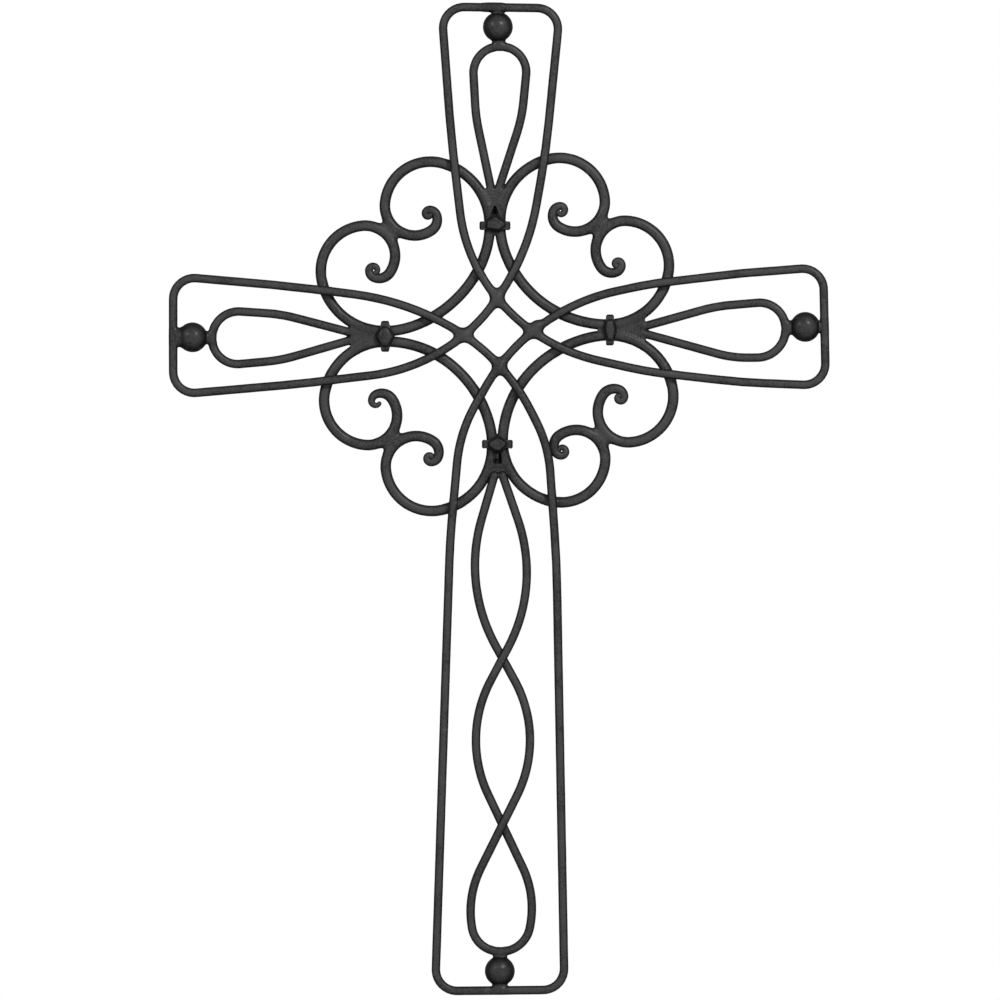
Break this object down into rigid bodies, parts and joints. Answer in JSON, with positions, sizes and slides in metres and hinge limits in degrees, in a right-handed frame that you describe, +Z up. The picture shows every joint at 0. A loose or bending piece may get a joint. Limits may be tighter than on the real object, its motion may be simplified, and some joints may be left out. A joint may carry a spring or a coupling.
{
  "type": "wrought iron wall cross",
  "caption": "Black wrought iron wall cross of bent round rod, with an interlaced outline, C-scrolls in its corners, teardrop loops in its arms and balls at their ends.",
  "frame": {"origin": "the bearing point of the nail under the arch of the top teardrop loop, carried straight back to the wall plane", "axes": "+Z up along the stem, +X to the viewer's right along the arms, -Y out of the wall towards the viewer; the wall is the plane Y = 0"},
  "size_m": [0.4061, 0.0183, 0.61],
  "materials": {
    "painted_rod": "satin black paint over bent round iron rod",
    "painted_forging": "satin black paint over forged iron",
    "painted_weld": "satin black paint over weld metal"
  },
  "bodies": {
    "root": {"outline_frame": "painted_rod", "loop_top": "painted_rod", "loop_left": "painted_rod", "loop_right": "painted_rod", "loop_stem": "painted_rod", "scroll_upper_left": "painted_rod", "scroll_upper_right": "painted_rod", "scroll_lower_left": "painted_rod", "scroll_lower_right": "painted_rod", "ball_top": "painted_forging", "ball_left": "painted_forging", "ball_right": "painted_forging", "ball_foot": "painted_forging", "collar_top": "painted_forging", "collar_left": "painted_forging", "collar_right": "painted_forging", "collar_foot": "painted_forging", "web_top": "painted_weld", "web_left": "painted_weld", "web_right": "painted_weld", "web_foot": "painted_weld"}
  },
  "joints": []
}
